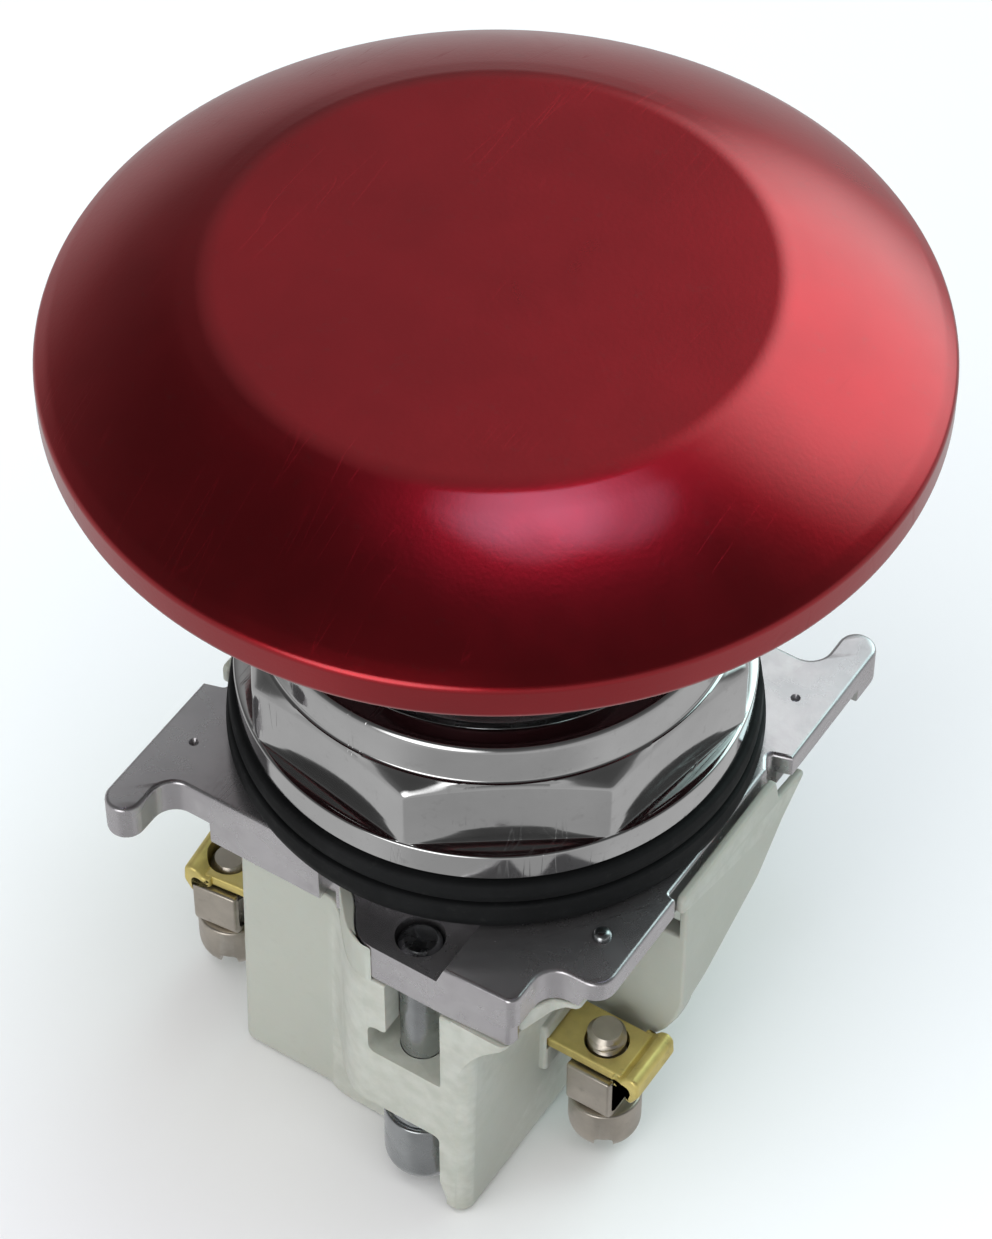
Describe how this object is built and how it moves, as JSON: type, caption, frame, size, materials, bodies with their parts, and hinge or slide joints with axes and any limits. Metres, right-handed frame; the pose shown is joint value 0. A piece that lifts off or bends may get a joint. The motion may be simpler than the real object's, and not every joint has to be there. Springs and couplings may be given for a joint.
{
  "type": "emergency stop button",
  "caption": "Red mushroom-head emergency stop push button on a chromed oil-tight operator, with a rear contact block and screw terminals.",
  "frame": {"origin": "on the push axis, at the housing face that seats against the back of the panel", "axes": "+Z out of the panel towards the mushroom head, +X from the left wire terminal to the right one, +Y to the side away from the terminals"},
  "size_m": [0.065, 0.065, 0.0806],
  "materials": {
    "head_red": "satin red anodised",
    "nut_chrome": "bright chrome plate",
    "housing_cast": "satin plated die casting",
    "rubber_black": "matte",
    "nylon_pale": "pale grey-green moulded, slightly translucent",
    "nylon_black": "moulded",
    "brass_strip": "stamped",
    "nickel": "nickel plated",
    "zinc_steel": "zinc plated",
    "spring_steel": "drawn wire",
    "silver_contact": "silver"
  },
  "bodies": {
    "operator": {"shaft_wiper_seal": "rubber_black", "guide_bushing": "nylon_black", "retaining_nut": "nut_chrome", "panel_gasket": "rubber_black", "thrust_washer": "rubber_black", "operator_housing": "housing_cast", "locating_pin_front": "zinc_steel", "locating_pin_rear": "zinc_steel", "block_base": "nylon_pale", "block_cover": "nylon_pale", "terminal_strip_right": "brass_strip", "clamp_right": "nickel", "terminal_screw_right": "nickel", "fixed_tip_right": "silver_contact", "terminal_strip_left": "brass_strip", "clamp_left": "nickel", "terminal_screw_left": "nickel", "fixed_tip_left": "silver_contact", "mounting_screw_front": "zinc_steel", "lock_washer_front": "zinc_steel", "mounting_screw_rear": "zinc_steel", "lock_washer_rear": "zinc_steel"},
    "plunger": {"mushroom_head": "head_red", "head_set_screw": "zinc_steel", "plunger_shaft": "zinc_steel", "spring_retainer": "zinc_steel", "return_spring": "spring_steel", "actuator_bar": "nylon_black", "shaft_clip": "spring_steel"},
    "contact": {"contact_carrier": "nylon_black", "contact_bridge": "brass_strip", "contact_spring": "spring_steel", "moving_tip_right": "silver_contact", "moving_tip_left": "silver_contact"}
  },
  "joints": [
    {"name": "head_press", "type": "slide", "parent": "operator", "child": "plunger", "axis": [0, 0, -1], "range_m": [0, 0.005], "stiffness_N_per_m": 1500, "springref_m": -0.0035, "deforming": ["return_spring"]},
    {"name": "contact_travel", "type": "slide", "parent": "operator", "child": "contact", "axis": [0, 0, -1], "range_m": [0, 0.005], "stiffness_N_per_m": 400, "springref_m": -0.002, "deforming": ["contact_spring"]}
  ],
  "couplings": [
    {"joint": "contact_travel", "follows": "head_press", "ratio": 1}
  ]
}
